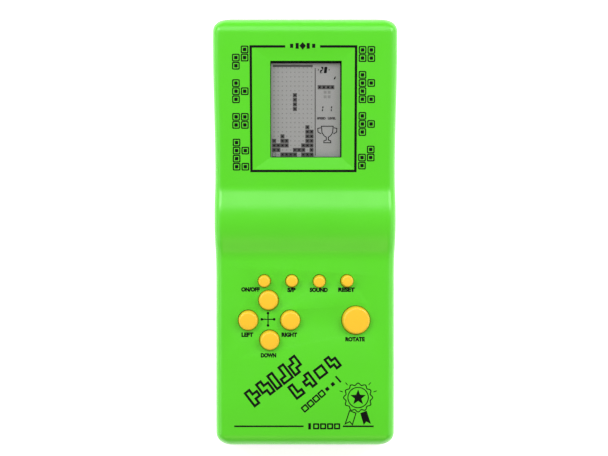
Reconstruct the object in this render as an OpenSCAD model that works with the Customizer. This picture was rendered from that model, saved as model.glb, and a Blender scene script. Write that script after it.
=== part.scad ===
// Handheld LCD game: two-part case with a tilted screen head, a transverse
// battery hump, nine sprung keys on a rubber sheet, one circuit board, two
// AA cells behind a hooked door, and a piezo sounder.
// Lies on its back: +Z out of the face, +Y towards the screen end, +X right.

/* [Case] */
// overall length of the case
body_len = 180; // [150:1:210]
// half width beside the keys
half_w_deck = 38; // [30:0.1:45]
// half width at the battery hump
half_w_hump = 38.5; // [30:0.1:45]
// half width at the far end of the screen head
half_w_head = 39; // [30:0.1:45]
// plan corner radius at the screen end
corner_top = 5.3; // [3:0.1:9]
// plan corner radius at the key end
corner_bottom = 5.4; // [3:0.1:9]
// height of the parting line between the shells
parting_z = 9.5; // [7:0.1:12]
// wall thickness of both shells
wall = 2; // [1.4:0.1:3]
// rounding along the long edges of the front shell
edge_r = 4; // [2:0.1:6]
// rounding along the bottom edge of the rear shell
base_r = 3; // [1:0.1:5]

/* [Face profile] */
// height of the flat key deck
deck_z = 19; // [16:0.1:24]
// height of the hump's crest before rounding
crest_z = 25.1; // [24:0.1:30]
// height of the crease between hump and head
crease_z = 21; // [20.8:0.1:25]
// where the hump rises from the deck
hump_foot_y = -9.5; // [-11:0.1:-8]
// where the hump peaks
hump_peak_y = 3.6; // [2:0.1:5]
// where the hump meets the head
hump_end_y = 17.2; // [16:0.1:20]
// reach of the blend at the hump's foot, to either side
foot_w = 3.2; // [2:0.1:4]
// reach of the rounding over the hump's peak
peak_w = 10; // [6:0.1:10]
// reach of the blend between hump and head
end_w = 3.8; // [2:0.1:4]
// tilt of the screen head in degrees
head_tilt = 5; // [0:0.5:10]
// rounding of the far end of the head
end_top = 6.5; // [3:0.1:9]
// rounding of the key end
end_bottom = 5; // [3:0.1:9]

/* [Screen] */
// width of the screen opening
screen_w = 29.9; // [24:0.1:40]
// height of the screen opening
screen_h = 40.4; // [30:0.1:50]
// sideways offset of the opening
screen_x = 0.35; // [-2:0.05:2]
// distance of the opening's middle from the case's middle
screen_y = 51.95; // [45:0.05:58]
// depth of the bevelled surround at the opening
bevel_depth = 1.3; // [0.4:0.1:1.8]

/* [Keys] */
// radius of the four mode keys
mode_r = 2.65; // [2:0.05:4]
// radius of the four direction keys
dir_r = 4.2; // [3:0.05:5]
// radius of the rotate key
rotate_r = 5.95; // [4:0.05:8]
// height of the key tops above the deck
key_h = 2.4; // [1:0.1:4]
// travel of every key
key_travel = 1.15; // [0.5:0.05:1.2]
// gap round each key
key_gap = 0.2; // [0.1:0.05:0.4]

/* [Batteries] */
// diameter of an AA cell
cell_d = 14.2; // [13.5:0.1:14.5]
// length of an AA cell over its terminal
cell_len = 50.5; // [49.2:0.1:50.5]
// distance between the cells' axes
cell_pitch = 15; // [14.6:0.1:17]
// height of the cells' axes
cell_z = 9.9; // [9:0.1:12]
// how far along the case the first cell lies
cell_y = 1; // [-2:0.1:4]
// radial gap between a cell and its bay
bay_gap = 0.4; // [0.2:0.1:1]
// half length of the bay inside
bay_half = 28.5; // [27:0.1:31]

/* [Hidden] */
$fn = 64;
eps = 0.01;
// how far the front shell's side walls lean in
side_draft = 0.35;
half_len = body_len / 2;
// how far the underside of the front shell lies below its face
ceiling = 1.08 * wall;
hump_up = (crest_z - deck_z) / (hump_peak_y - hump_foot_y);
hump_down = (crest_z - crease_z) / (hump_end_y - hump_peak_y);
head_up = tan(head_tilt);
pcb_top = 11;
pcb_t = 1.6;
pcb_low = pcb_top - pcb_t;
key_top = deck_z + key_h;
// height of the domes' tops, where the keys' stems stand
dome_top = 14.6;
// thickness of the rubber sheet between the domes
sheet_t = 1;
// underside and top of the flange that holds each key in
flange_low = 15.8;
flange_top = deck_z - ceiling - 0.09;
// heights of the display's layers, each from the head's face to the layer's underside
window_z = -3.75;
front_film_z = -4;
front_glass_z = -4.8;
rear_glass_z = -5.6;
rear_film_z = -5.85;
bracket_z = -7.4;
// the rear shell's lip: height over the parting line and gap inside the front shell
lip_h = 1.2;
lip_gap = 0.4;
lip_t = 0.7;
// where the two shells' screw bosses meet, and their radii
boss_z = 8;
boss_top_r = 3;
boss_low_r = 4.5;
// [x, y, radius] of every key: up, down, left, right, rotate, then the mode keys
keys = [
    [-15.4, -28.1, dir_r], [-15.0, -44.9, dir_r], [-24.0, -36.5, dir_r], [-6.3, -36.5, dir_r],
    [21.4, -36.5, rotate_r],
    [-17.2, -20.0, mode_r], [-5.6, -20.0, mode_r], [6.0, -20.0, mode_r], [17.6, -20.0, mode_r]
];
case_screw_at = [[-32.2, 81.2], [32.2, 81.2], [-32.2, 30], [32.2, 30], [-31.3, -80.3], [31.3, -80.3]];
pcb_screw_at = [[-30.3, -13.7], [30.3, -13.7], [-30.3, -56], [30.3, -56], [4, -56]];
bracket_screw_at = [[-22.6, 19.5], [23.4, 19.5], [-22.6, -19.5], [23.4, -19.5]];
buzzer_at = [0, -69];
// routes of the four fixed wires, soldered at both ends
red_route = [
    [31.5, 1, 14.8], [32.6, -2, 14.9], [32.8, -6, 14.2], [31.6, -9.5, 13.2],
    [27.5, -11.6, 12.9], [24, -13.2, 12.5], [22.6, -13.9, 11.9], [22.5, -14, 11.2]
];
black_route = [
    [31.5, 16, 14.8], [33, 13, 15], [34, 6, 15.2], [34.1, 0, 15.2], [33.6, -5.4, 15],
    [31, -9.4, 14.9], [24.6, -10.6, 14.4], [19.2, -12.6, 13], [18.1, -13.5, 12], [18, -13.6, 11.2]
];
buzzer_red_route = [[11, -66, 3.95], [13, -62.6, 4.3], [15, -60.4, 6], [15.4, -59.8, 8], [15.4, -59.8, 9.2]];
buzzer_black_route = [[5, -66.5, 4.05], [8, -62, 4.4], [10.6, -59.6, 6], [11, -59.2, 8], [11, -59.2, 9.2]];

// ---- profile functions ----

// 0 below c - w, slope 1 above c + w, a parabola between
function ramp(y, c, w) = y <= c - w ? 0 : y >= c + w ? y - c : pow(y - c + w, 2) / (4 * w);
// 0 to 1 with level ends
function ease(t) = t <= 0 ? 0 : t >= 1 ? 1 : t * t * (3 - 2 * t);
// how far a quarter round of radius r falls at distance d from its end
function fall(d, r) = d >= r ? 0 : r - sqrt(max(0, r * r - pow(r - d, 2)));

function face_raw(y) = deck_z - 0.13 * ramp(-y, 74, 5)
    + hump_up * ramp(y, hump_foot_y, foot_w)
    - (hump_up + hump_down) * ramp(y, hump_peak_y, peak_w)
    + (hump_down + head_up) * ramp(y, hump_end_y, end_w);
function face_z(y, in = 0) = face_raw(y)
    - fall(half_len - in - y, end_top - in / 2)
    - fall(half_len - in + y, end_bottom - in / 2);
function side_w(y) = half_w_deck
    + (half_w_hump - half_w_deck) * ease((y + 18) / 22)
    - 0.25 * ease((y - 10) / 18)
    + (half_w_head - half_w_hump + 0.25) * ease((y - 26) / 52);
function plan_w(y, in = 0) = side_w(y) - in
    - fall(half_len - in - y, corner_top - in) - fall(half_len - in + y, corner_bottom - in);

// ---- lofts ----

// one cross-section across the case: wall, long-edge rounding, flat top
function half_section(w, zt, r, n) = [for (i = [0:n])
    [w - side_draft - r + r * cos(90 * i / n), zt - r + r * sin(90 * i / n)]];
function section(y, w, zt, zb, r, n) = let (h = half_section(w, zt, r, n)) concat(
    [[-w, y, zb]],
    [for (p = h) [-p[0], y, p[1]]],
    [for (i = [n:-1:0]) [h[i][0], y, h[i][1]]],
    [[w, y, zb]]
);

// joins rings of points into one closed solid; each ring turns the right-handed
// way about the direction of travel
module skin(rings) {
    n = len(rings);
    m = len(rings[0]);
    polyhedron(
        points = [for (ring = rings) for (p = ring) p],
        faces = concat(
            [[for (j = [0:m - 1]) j]],
            [[for (j = [m - 1:-1:0]) (n - 1) * m + j]],
            [for (i = [0:n - 2]) for (j = [0:m - 1])
                [i * m + j, (i + 1) * m + j, (i + 1) * m + (j + 1) % m]],
            [for (i = [0:n - 2]) for (j = [0:m - 1])
                [i * m + j, (i + 1) * m + (j + 1) % m, i * m + (j + 1) % m]]
        )
    );
}

// stations along the case, close together on the roundings and the hump
function spread(in, step) = concat(
    [for (a = [0:15:90]) -half_len + in + 6.2 * (1 - cos(a))],
    [-81, -78, -75, -72, -69, -55, -35, -18],
    [for (y = [-13:step:22.2]) y],
    [35, 50, 65, 76],
    [for (a = [90:-15:0]) half_len - in - 6.6 * (1 - cos(a))]
);

// quarter of a plan corner about (cx, cy), from angle a to b
function corner(cx, cy, r, a, b) = [for (t = [0:15:90]) let (q = a + (b - a) * t / 90)
    [cx + r * cos(q), cy + r * sin(q)]];

// closed plan outline of the case, drawn in by a distance, as a level ring
side_y = [-72, -50, -20, -10, -2, 6, 14, 22, 30, 42, 54, 66, 76];
function plan(in) = let (
    bx = side_w(-80) - corner_bottom, by = half_len - corner_bottom, br = corner_bottom - in,
    tx = side_w(82) - corner_top, ty = half_len - corner_top, tr = corner_top - in
) concat(
    corner(bx, -by, br, -90, 0),
    [for (y = side_y) [side_w(y) - in, y]],
    corner(tx, ty, tr, 0, 90),
    corner(-tx, ty, tr, 90, 180),
    [for (i = [len(side_y) - 1:-1:0]) [-side_w(side_y[i]) + in, side_y[i]]],
    corner(-bx, -by, br, 180, 270)
);
function level(in, z) = [for (p = plan(in)) [p[0], p[1], z]];

// puts children on the middle of the screen head: local z = 0 is its face
module on_head() {
    translate([0, screen_y, face_raw(screen_y)]) rotate([head_tilt, 0, 0]) children();
}

// ---- small helpers ----

// cross-recess screw, head down, its shoulder at z = 0
module screw(shank_r, shank_l, head_r, head_h) {
    difference() {
        union() {
            translate([0, 0, -head_h]) cylinder(r = head_r, h = head_h);
            cylinder(r = shank_r, h = shank_l);
        }
        translate([-head_r * 0.55, -0.3, -head_h - eps]) cube([head_r * 1.1, 0.6, head_h * 0.6]);
        translate([-0.3, -head_r * 0.55, -head_h - eps]) cube([0.6, head_r * 1.1, head_h * 0.6]);
    }
}

function unit(v) = v / norm(v);
function tangent(p, i) = unit(p[min(i + 1, len(p) - 1)] - p[max(i - 1, 0)]);
// eight-sided tube along a route, for a fixed wire
module tube(p, r, up = [0.3, 0.2, 1]) {
    skin([for (i = [0:len(p) - 1]) let (t = tangent(p, i), a = unit(cross(t, up)), b = cross(t, a))
        [for (q = [0:45:315]) p[i] + r * (cos(q) * a + sin(q) * b)]]);
}

// points between the route's corners on a Catmull-Rom curve
function curve(p, k) = concat(
    [for (i = [0:len(p) - 2]) for (s = [0:k - 1]) let (
        t = s / k, a = p[max(i - 1, 0)], b = p[i], c = p[i + 1], d = p[min(i + 2, len(p) - 1)],
        bend = 2 * a - 5 * b + 4 * c - d, twist = 3 * b - a - 3 * c + d)
        0.5 * (2 * b + (c - a) * t + bend * t * t + twist * t * t * t)],
    [p[len(p) - 1]]
);

// conical coil along +X, its ends wound close
module coil(r1, r2, length, wire_r, turns) {
    steps = 16;
    n = turns * steps;
    skin([for (i = [0:n]) let (
            u = i / n, a = 360 * i / steps, r = r1 + (r2 - r1) * u, e = [0, cos(a), sin(a)],
            x = wire_r + (length - 2 * wire_r) * ease(u * 1.16 - 0.08))
        [for (q = [0:60:300]) [x, 0, 0] + r * e + wire_r * (cos(q) * [1, 0, 0] + sin(q) * e)]]);
}

// ---- case ----

// rounding inside the front shell, kept clear of the parting plane at the low ends
function inner_r(z) = min(edge_r - 1.6, 0.6 * (z - parting_z));

module front_shell() {
    color([0.38, 0.87, 0.23])
    difference() {
        union() {
            difference() {
                skin([for (y = spread(0, 1.6)) section(y, plan_w(y), face_z(y), parting_z, edge_r, 6)]);
                skin([for (y = spread(wall, 3.2)) let (z = face_z(y, wall) - ceiling)
                    section(y, plan_w(y, wall), z, parting_z - 1, inner_r(z), 3)]);
            }
            for (p = case_screw_at) translate([p[0], p[1], boss_z + 0.1])
                cylinder(r = boss_top_r, h = face_z(p[1]) - 1.3 - boss_z - 0.1);
            for (p = pcb_screw_at) translate([p[0], p[1], pcb_top]) cylinder(r = 2.4, h = 6.9);
            on_head() for (p = bracket_screw_at) translate([p[0], p[1], -5.9]) cylinder(r = 2, h = 4.6);
        }
        for (p = case_screw_at) translate([p[0], p[1], 8]) cylinder(r = 1.15, h = 8.4);
        for (p = pcb_screw_at) translate([p[0], p[1], pcb_top - 1]) cylinder(r = 0.85, h = 5.6);
        on_head() for (p = bracket_screw_at) translate([p[0], p[1], -7]) cylinder(r = 0.75, h = 4.2);
        for (k = keys) translate([k[0], k[1], deck_z - wall - 2]) cylinder(r = k[2] + key_gap, h = wall + 4);
        on_head() {
            translate([screen_x - screen_w / 2, -screen_h / 2, -6]) cube([screen_w, screen_h, 12]);
            bevel();
        }
    }
}

// mitred recess round the screen opening
module bevel() {
    x1 = -21.9;
    x2 = 21;
    y1 = -25.3;
    y2 = 25.9;
    a = screen_x - screen_w / 2;
    b = screen_x + screen_w / 2;
    c = screen_h / 2;
    polyhedron(
        points = [
            [x1, y1, 0.12], [x2, y1, 0.12], [x2, y2, 0.12], [x1, y2, 0.12],
            [a, -c, -bevel_depth], [b, -c, -bevel_depth], [b, c, -bevel_depth], [a, c, -bevel_depth]
        ],
        faces = [[3, 2, 1, 0], [4, 5, 6, 7], [0, 1, 5, 4], [1, 2, 6, 5], [2, 3, 7, 6], [3, 0, 4, 7]]
    );
}

// outer body of the battery bay: two round crowns over straight walls
module bay_profile(r, y1, y2, low) {
    translate([cell_y, cell_z]) circle(r = r);
    translate([cell_y + cell_pitch, cell_z]) circle(r = r);
    translate([y1, low]) square([y2 - y1, cell_z - low]);
    translate([cell_y, low]) square([cell_pitch, cell_z + r - low]);
}

module along_x(x1, x2) {
    translate([x1, 0, 0]) rotate([90, 0, 90]) linear_extrude(height = x2 - x1) children();
}

bay_r = cell_d / 2 + bay_gap;
bay_y1 = cell_y - bay_r;
bay_y2 = cell_y + cell_pitch + bay_r;
bay_t = 1.4;
hook_x = [-16, 16];

module rear_shell() {
    color([0.16, 0.17, 0.17])
    difference() {
        union() {
            difference() {
                skin([for (a = [0:18:90]) level(base_r * (1 - sin(a)), base_r * (1 - cos(a))),
                    level(0, parting_z)]);
                translate([0, 0, wall]) linear_extrude(height = parting_z) polygon(plan(wall));
            }
            // band inside the wall, and the lip on it that steps up inside the front shell
            difference() {
                union() {
                    translate([0, 0, parting_z - 3]) linear_extrude(height = 3) polygon(plan(wall - 0.5));
                    translate([0, 0, parting_z - 1]) linear_extrude(height = 1 + lip_h)
                        polygon(plan(wall + lip_gap));
                }
                translate([0, 0, wall]) linear_extrude(height = parting_z)
                    polygon(plan(wall + lip_gap + lip_t));
            }
            along_x(-bay_half - bay_t, bay_half + bay_t)
                bay_profile(bay_r + bay_t, bay_y1 - bay_t, bay_y2 + bay_t, 0.5);
            for (p = case_screw_at) translate([p[0], p[1], 0.5]) cylinder(r = boss_low_r, h = boss_z - 0.5);
            // sounder ring
            translate([buzzer_at[0], buzzer_at[1], wall - 0.5]) difference() {
                cylinder(r = 13.4, h = 1.7);
                cylinder(r = 12, h = 2);
            }
            // stiffening ribs under the screen head
            for (x = [-14, 14]) translate([x - 0.6, 34, wall - 0.5]) cube([1.2, 46, 5.5]);
            for (y = [44, 66]) translate([-24, y - 0.6, wall - 0.5]) cube([48, 1.2, 4.5]);
        }
        along_x(-bay_half, bay_half) bay_profile(bay_r, bay_y1, bay_y2, -1);
        for (p = case_screw_at) {
            translate([p[0], p[1], -1]) cylinder(r = 3.1, h = 5);
            translate([p[0], p[1], 1]) cylinder(r = 1.35, h = boss_z);
            // relief in the lip for the front shell's boss
            translate([p[0], p[1], boss_z]) cylinder(r = boss_top_r + 0.15, h = 4);
        }
        // pockets for the door's hooks
        for (x = hook_x) translate([x - 4, bay_y1 - bay_t - eps, wall]) cube([8, bay_t + 0.5, 3]);
        // finger notch at the door's free edge
        translate([0, bay_y2 - 1.2, -0.2]) cylinder(r = 6.5, h = 1.4);
        // slots for the solder lugs of the two end contacts
        for (y = [cell_y, cell_y + cell_pitch]) translate([bay_half - 1, y - 1.9, 13.4])
            cube([bay_t + 2, 3.8, 1]);
        // sound holes
        translate([buzzer_at[0], buzzer_at[1], -1]) {
            cylinder(r = 0.8, h = 5);
            for (a = [0:60:300]) translate([5 * cos(a), 5 * sin(a), 0]) cylinder(r = 0.8, h = 5);
        }
    }
}

// the door turns about the round of its hooked edge
hinge_y = bay_y1 + 1.2;
hinge_z = 0.9;

module battery_door() {
    color([0.17, 0.18, 0.18])
    difference() {
        union() {
            translate([-bay_half + 0.3, hinge_y, hinge_z]) rotate([0, 90, 0])
                cylinder(r = 0.9, h = 2 * bay_half - 0.6);
            translate([-bay_half + 0.3, hinge_y, 0]) cube([2 * bay_half - 0.6, bay_y2 - 0.3 - hinge_y, 1.8]);
            for (x = hook_x) {
                translate([x - 3.5, hinge_y - 2.8, 2.1]) cube([7, 4.8, 0.9]);
                translate([x - 3.5, hinge_y, 1.5]) cube([7, 2, 1]);
            }
        }
        // slots that free the latch tongue
        for (x = [-6.6, 5.6]) translate([x, bay_y2 - 9, -1]) cube([1, 10, 4]);
        // grip lines
        for (i = [0:4]) translate([-4.5, bay_y2 - 3.6 - 1.5 * i, -eps]) cube([9, 0.6, 0.35]);
    }
}

module case_screws() {
    color([0.62, 0.63, 0.64])
    for (p = case_screw_at) translate([p[0], p[1], 4]) screw(1.1, 11, 2.6, 1.6);
}

// ---- display ----

module screen_window() {
    color([0.82, 0.86, 0.85, 0.5])
    on_head() translate([screen_x - 18, -23, window_z]) cube([36, 46, 1.2]);
}

module lcd_front_polariser() {
    color([0.60, 0.61, 0.58])
    on_head() translate([screen_x - 17.5, -21.5, front_film_z]) cube([35, 44, 0.2]);
}

module lcd_front_glass() {
    color([0.70, 0.76, 0.74])
    on_head() translate([screen_x - 18.2, -25.4, front_glass_z]) cube([36.4, 48.4, 0.8]);
}

module lcd_rear_glass() {
    color([0.66, 0.72, 0.70])
    on_head() translate([screen_x - 18.2, -21.4, rear_glass_z]) cube([36.4, 44.4, 0.8]);
}

module lcd_rear_reflector() {
    color([0.72, 0.73, 0.70])
    on_head() translate([screen_x - 17.5, -21, rear_film_z]) cube([35, 43.5, 0.25]);
}

module lcd_bracket() {
    color([0.82, 0.82, 0.78])
    on_head() difference() {
        union() {
            translate([screen_x - 20.2, -21, bracket_z]) cube([40.4, 46, 1.5]);
            for (x = [screen_x - 20.2, screen_x + 18.7]) translate([x, -21, bracket_z + 0.4])
                cube([1.5, 46, 3.2]);
            translate([screen_x - 20.2, 23.5, bracket_z + 0.4]) cube([40.4, 1.5, 3.2]);
            for (p = bracket_screw_at) translate([p[0], p[1], bracket_z]) cylinder(r = 2.9, h = 1.5);
        }
        translate([screen_x - 13, -15, bracket_z - 1]) cube([26, 32, 3]);
        for (p = bracket_screw_at) translate([p[0], p[1], bracket_z - 1]) cylinder(r = 1, h = 3);
        for (p = bracket_screw_at) translate([p[0], p[1], bracket_z + 1.5]) cylinder(r = 2.3, h = 3);
    }
}

module lcd_bracket_screws() {
    color([0.66, 0.66, 0.65])
    on_head() for (p = bracket_screw_at) translate([p[0], p[1], bracket_z]) screw(0.7, 4.2, 1.8, 1.1);
}

// one side of a thin strip that follows a line in the YZ plane
function side_line(p, t) = [for (i = [0:len(p) - 1]) let (d = tangent(p, i)) p[i] + t * [-d[1], d[0]]];

// [y, z] places on the ribbon's way from the glass's ledge over the cells to the board
ribbon_line = [
    [31.0, 17.25], [28.0, 17.0], [26.0, 16.95], [24.3, 17.1], [21.5, 17.9], [18.8, 18.75], [16.8, 19.0],
    [14.5, 19.05], [2.0, 19.05], [-2.0, 18.8], [-5.2, 17.2],
    [-7.6, 14.8], [-9.0, 12.6], [-10.0, 11.3], [-11.2, 11.09], [-14.6, 11.09]
];

module heat_seal_ribbon() {
    color([0.14, 0.13, 0.12])
    along_x(-11.5, 12.5) polygon(concat(
        side_line(ribbon_line, 0.075),
        [for (i = [len(ribbon_line) - 1:-1:0]) side_line(ribbon_line, -0.075)[i]]
    ));
}

// ---- electronics ----

module main_pcb() {
    color([0.45, 0.55, 0.22])
    difference() {
        translate([-33.4, -84, pcb_low]) cube([66.8, 72.6, pcb_t]);
        for (x = [-34, 26.4]) translate([x, -84.5, 5]) cube([7.6, 9.1, 9]);
        for (p = pcb_screw_at) translate([p[0], p[1], 5]) cylinder(r = 1.1, h = 9);
    }
}

module chip_blob() {
    color([0.05, 0.05, 0.05])
    translate([-3, -38, 0]) rotate_extrude() intersection() {
        translate([0, pcb_low + 8]) circle(r = 10.4);
        translate([0, pcb_low - 4.4]) square([12, 4.4]);
    }
}

module pcb_screws() {
    color([0.66, 0.66, 0.65])
    for (p = pcb_screw_at) translate([p[0], p[1], pcb_low]) screw(0.8, 6, 2, 1.2);
}

module capacitors() {
    color([0.12, 0.22, 0.48])
    for (p = [[22, -22], [22, -30]]) translate([p[0], p[1], pcb_low - 5.2]) difference() {
        cylinder(r = 2.5, h = 5.2);
        // crimp round the can
        translate([0, 0, 4.2]) difference() {
            cylinder(r = 3, h = 0.4);
            cylinder(r = 2.2, h = 0.4);
        }
    }
}

module resonator() {
    color([0.85, 0.45, 0.12])
    translate([-22, -30, pcb_low - 4.6]) cube([8, 3.2, 4.6]);
}

module resistors() {
    color([0.78, 0.66, 0.45])
    for (i = [0:3]) translate([10 + 3.4 * i, -50, pcb_low - 1.1]) {
        translate([0, -3, 0]) rotate([-90, 0, 0]) cylinder(r = 0.95, h = 6);
        translate([0, -5, 0]) rotate([-90, 0, 0]) cylinder(r = 0.28, h = 10);
        for (y = [-5, 5]) translate([0, y, 0]) cylinder(r = 0.28, h = 1.1);
    }
}

// ---- keypad ----

function skirt_r(r) = r > 5 ? 5.4 : r > 4 ? 4.1 : 2.9;
function boss_r(r) = r > 5 ? 3.6 : r > 4 ? 2.7 : 1.9;
function pill_r(r) = boss_r(r) - 0.6;
function flange_r(r) = r > 4 ? r + 0.53 : r + 0.6;
pill_t = 0.5;
pill_top = pcb_top + key_travel + 0.05 + pill_t;

module keypad_sheet() {
    color([0.78, 0.77, 0.72])
    union() {
        difference() {
            translate([-29.4, -51.4, pcb_top]) cube([58.8, 35, sheet_t]);
            for (k = keys) translate([k[0], k[1], pcb_top - 1]) cylinder(r = skirt_r(k[2]) - 0.3, h = 3);
        }
        for (k = keys) translate([k[0], k[1], 0]) rotate_extrude() polygon([
            [0, pill_top], [boss_r(k[2]) - 0.55, pill_top], [skirt_r(k[2]) - 0.3, pcb_top + 0.5],
            [skirt_r(k[2]) + 0.3, pcb_top + 0.5], [skirt_r(k[2]) + 0.3, pcb_top + sheet_t],
            [boss_r(k[2]), dome_top - 1.2], [boss_r(k[2]), dome_top], [0, dome_top]
        ]);
    }
}

module key(i) {
    k = keys[i];
    r = k[2];
    f = r > 5 ? 1.25 : r > 4 ? 1.1 : 0.9;
    color([1.0, 0.82, 0.21])
    translate([k[0], k[1], 0]) rotate_extrude() union() {
        translate([0, dome_top]) square([boss_r(r), 2]);
        translate([0, flange_low]) square([flange_r(r), flange_top - flange_low]);
        translate([0, flange_low]) square([r, key_top - f - flange_low]);
        translate([0, flange_low]) square([r - f, key_top - flange_low]);
        translate([r - f, key_top - f]) circle(r = f);
    }
}

module pill(i) {
    k = keys[i];
    color([0.10, 0.10, 0.10])
    translate([k[0], k[1], pill_top - pill_t]) cylinder(r = pill_r(k[2]), h = pill_t);
}

module up_button() { key(0); }
module down_button() { key(1); }
module left_button() { key(2); }
module right_button() { key(3); }
module rotate_button() { key(4); }
module on_off_button() { key(5); }
module start_pause_button() { key(6); }
module sound_button() { key(7); }
module reset_button() { key(8); }
module up_pill() { pill(0); }
module down_pill() { pill(1); }
module left_pill() { pill(2); }
module right_pill() { pill(3); }
module rotate_pill() { pill(4); }
module on_off_pill() { pill(5); }
module start_pause_pill() { pill(6); }
module sound_pill() { pill(7); }
module reset_pill() { pill(8); }

// ---- power ----

// contact plates stand plate_off clear of the bay's end wall
plate_off = 0.02;
plate_t = 0.4;
// room at the bay's end for a contact plate, before a cell's terminal or a spring
cell_end = plate_off + plate_t + 0.03;
spring_end = plate_off + plate_t + 0.02;
spring_len = 2 * bay_half - cell_len - cell_end - spring_end - 0.03;

// an AA cell lying along X with its positive end towards +X
module cell() {
    rotate([0, 90, 0]) {
        cylinder(r = cell_d / 2, h = cell_len - 1.4);
        cylinder(r = 2.7, h = cell_len);
    }
}

module aa_cell_1() {
    color([0.12, 0.13, 0.15])
    translate([bay_half - cell_end - cell_len, cell_y, cell_z]) cell();
}

module aa_cell_2() {
    color([0.12, 0.13, 0.15])
    translate([-bay_half + cell_end + cell_len, cell_y + cell_pitch, cell_z]) rotate([0, 0, 180]) cell();
}

// flat plate across the end of the bay
module end_plate(y1, y2) {
    translate([bay_half - plate_off - plate_t, y1, 4.4]) cube([plate_t, y2 - y1, 10]);
}

// end plate for one cell, with its solder lug through the wall
module lugged_plate(y) {
    end_plate(y - 4.5, y + 4.5);
    translate([bay_half - plate_off - plate_t, y - 1.5, 13.7]) cube([3.6, 3, 0.4]);
}

module positive_contact() {
    color([0.75, 0.75, 0.73])
    lugged_plate(cell_y);
}

module negative_contact() {
    color([0.75, 0.75, 0.73])
    lugged_plate(cell_y + cell_pitch);
}

module bridge_contact() {
    color([0.75, 0.75, 0.73])
    mirror([1, 0, 0]) end_plate(cell_y - 4.5, cell_y + cell_pitch + 4.5);
}

module negative_spring() {
    color([0.78, 0.78, 0.76])
    translate([bay_half - spring_end, cell_y + cell_pitch, cell_z]) mirror([1, 0, 0])
        coil(4, 2.9, spring_len, 0.32, 4);
}

module bridge_spring() {
    color([0.78, 0.78, 0.76])
    translate([-bay_half + spring_end, cell_y, cell_z]) coil(4, 2.9, spring_len, 0.32, 4);
}

module red_wire() {
    color([0.80, 0.10, 0.08])
    tube(curve(red_route, 4), 0.5);
}

module black_wire() {
    color([0.06, 0.06, 0.06])
    tube(curve(black_route, 4), 0.5);
}

// ---- sounder ----

module buzzer_disc() {
    color([0.80, 0.62, 0.28])
    translate([buzzer_at[0], buzzer_at[1], wall + 1.2]) cylinder(r = 13.5, h = 0.25);
}

module buzzer_ceramic() {
    color([0.86, 0.86, 0.82])
    translate([buzzer_at[0], buzzer_at[1], wall + 1.45]) cylinder(r = 9, h = 0.2);
}

module buzzer_wire_red() {
    color([0.80, 0.10, 0.08])
    tube(curve(buzzer_red_route, 3), 0.35, [0.9, 0.5, 0.1]);
}

module buzzer_wire_black() {
    color([0.06, 0.06, 0.06])
    tube(curve(buzzer_black_route, 3), 0.35, [0.9, 0.5, 0.1]);
}

// which sub-part is drawn

front_shell();
rear_shell();
battery_door();
case_screws();
screen_window();
lcd_front_polariser();
lcd_front_glass();
lcd_rear_glass();
lcd_rear_reflector();
lcd_bracket();
lcd_bracket_screws();
heat_seal_ribbon();
main_pcb();
chip_blob();
pcb_screws();
capacitors();
resonator();
resistors();
keypad_sheet();
up_button();
down_button();
left_button();
right_button();
rotate_button();
on_off_button();
start_pause_button();
sound_button();
reset_button();
up_pill();
down_pill();
left_pill();
right_pill();
rotate_pill();
on_off_pill();
start_pause_pill();
sound_pill();
reset_pill();
aa_cell_1();
aa_cell_2();
positive_contact();
negative_contact();
bridge_contact();
negative_spring();
bridge_spring();
red_wire();
black_wire();
buzzer_disc();
buzzer_ceramic();
buzzer_wire_red();
buzzer_wire_black();
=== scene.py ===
"""Looks of the handheld LCD game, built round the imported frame.

Row frame: +Z out of the key deck, +Y towards the screen end, back on z = 0.
Sizes below are in millimetres; meshes are made in metres.
"""

import math

import bmesh
import bpy
from mathutils import Matrix, Vector


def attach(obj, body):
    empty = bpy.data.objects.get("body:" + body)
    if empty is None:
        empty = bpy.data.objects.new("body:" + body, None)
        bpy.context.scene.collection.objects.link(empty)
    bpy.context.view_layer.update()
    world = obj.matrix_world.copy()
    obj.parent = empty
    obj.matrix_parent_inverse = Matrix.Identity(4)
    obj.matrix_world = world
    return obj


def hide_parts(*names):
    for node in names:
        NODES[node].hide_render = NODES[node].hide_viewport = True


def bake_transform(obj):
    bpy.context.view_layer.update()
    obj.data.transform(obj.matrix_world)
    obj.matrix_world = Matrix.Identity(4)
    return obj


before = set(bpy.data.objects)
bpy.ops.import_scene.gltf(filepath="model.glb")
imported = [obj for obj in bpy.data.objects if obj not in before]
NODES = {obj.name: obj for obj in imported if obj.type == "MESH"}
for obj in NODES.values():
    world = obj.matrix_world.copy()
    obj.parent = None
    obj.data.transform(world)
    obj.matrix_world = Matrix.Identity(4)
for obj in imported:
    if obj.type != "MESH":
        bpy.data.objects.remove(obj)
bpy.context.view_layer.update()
MM = 0.001

# ---- the case's shape, as in the CAD but for the hump's curve ----

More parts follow.
